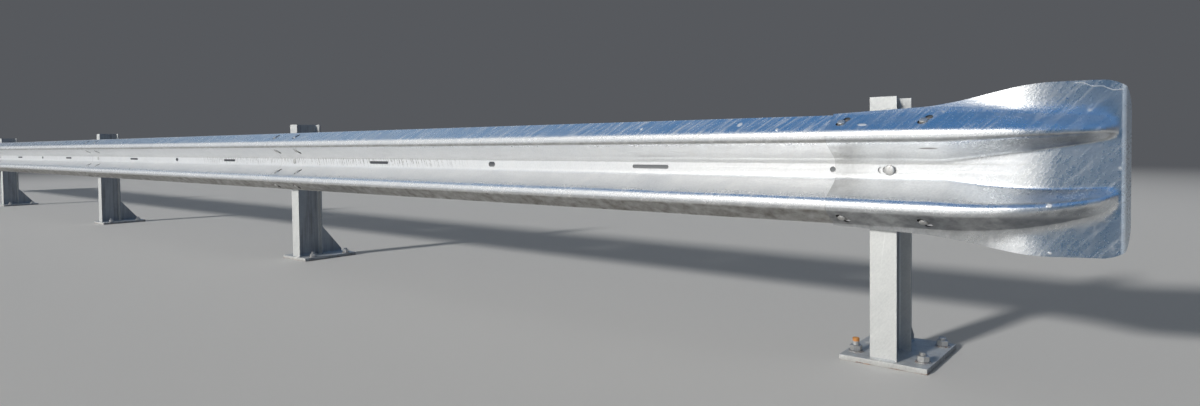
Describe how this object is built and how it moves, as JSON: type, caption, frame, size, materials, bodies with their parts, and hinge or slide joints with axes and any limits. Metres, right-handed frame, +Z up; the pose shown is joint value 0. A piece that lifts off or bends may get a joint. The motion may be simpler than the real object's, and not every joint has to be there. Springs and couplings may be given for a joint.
{
  "type": "corrugated beam crash barrier run",
  "caption": "Straight run of galvanised corrugated-beam crash barrier on bolted-down I-section posts with rear gussets and flared fishtail ends.",
  "frame": {"origin": "underside of the middle post's base plate, in line with the post's web and level with the front face of its front flange", "axes": "+X along the barrier towards the end that laps in front, +Y away from the traffic, +Z up"},
  "size_m": [13.8707, 0.3846, 0.767],
  "materials": {
    "beam_zinc": "bright hot-dip zinc",
    "post_zinc": "dull hot-dip zinc",
    "fastener_zinc": "zinc-coated bolt steel"
  },
  "bodies": {
    "root": {"base_plate_1": "post_zinc", "base_plate_2": "post_zinc", "base_plate_3": "post_zinc", "base_plate_4": "post_zinc", "base_plate_5": "post_zinc", "post_1": "post_zinc", "post_2": "post_zinc", "post_3": "post_zinc", "post_4": "post_zinc", "post_5": "post_zinc", "gusset_1": "post_zinc", "gusset_2": "post_zinc", "gusset_3": "post_zinc", "gusset_4": "post_zinc", "gusset_5": "post_zinc", "beam_1": "beam_zinc", "beam_2": "beam_zinc", "beam_3": "beam_zinc", "beam_4": "beam_zinc", "fishtail_left": "beam_zinc", "fishtail_right": "beam_zinc"}
  },
  "joints": []
}
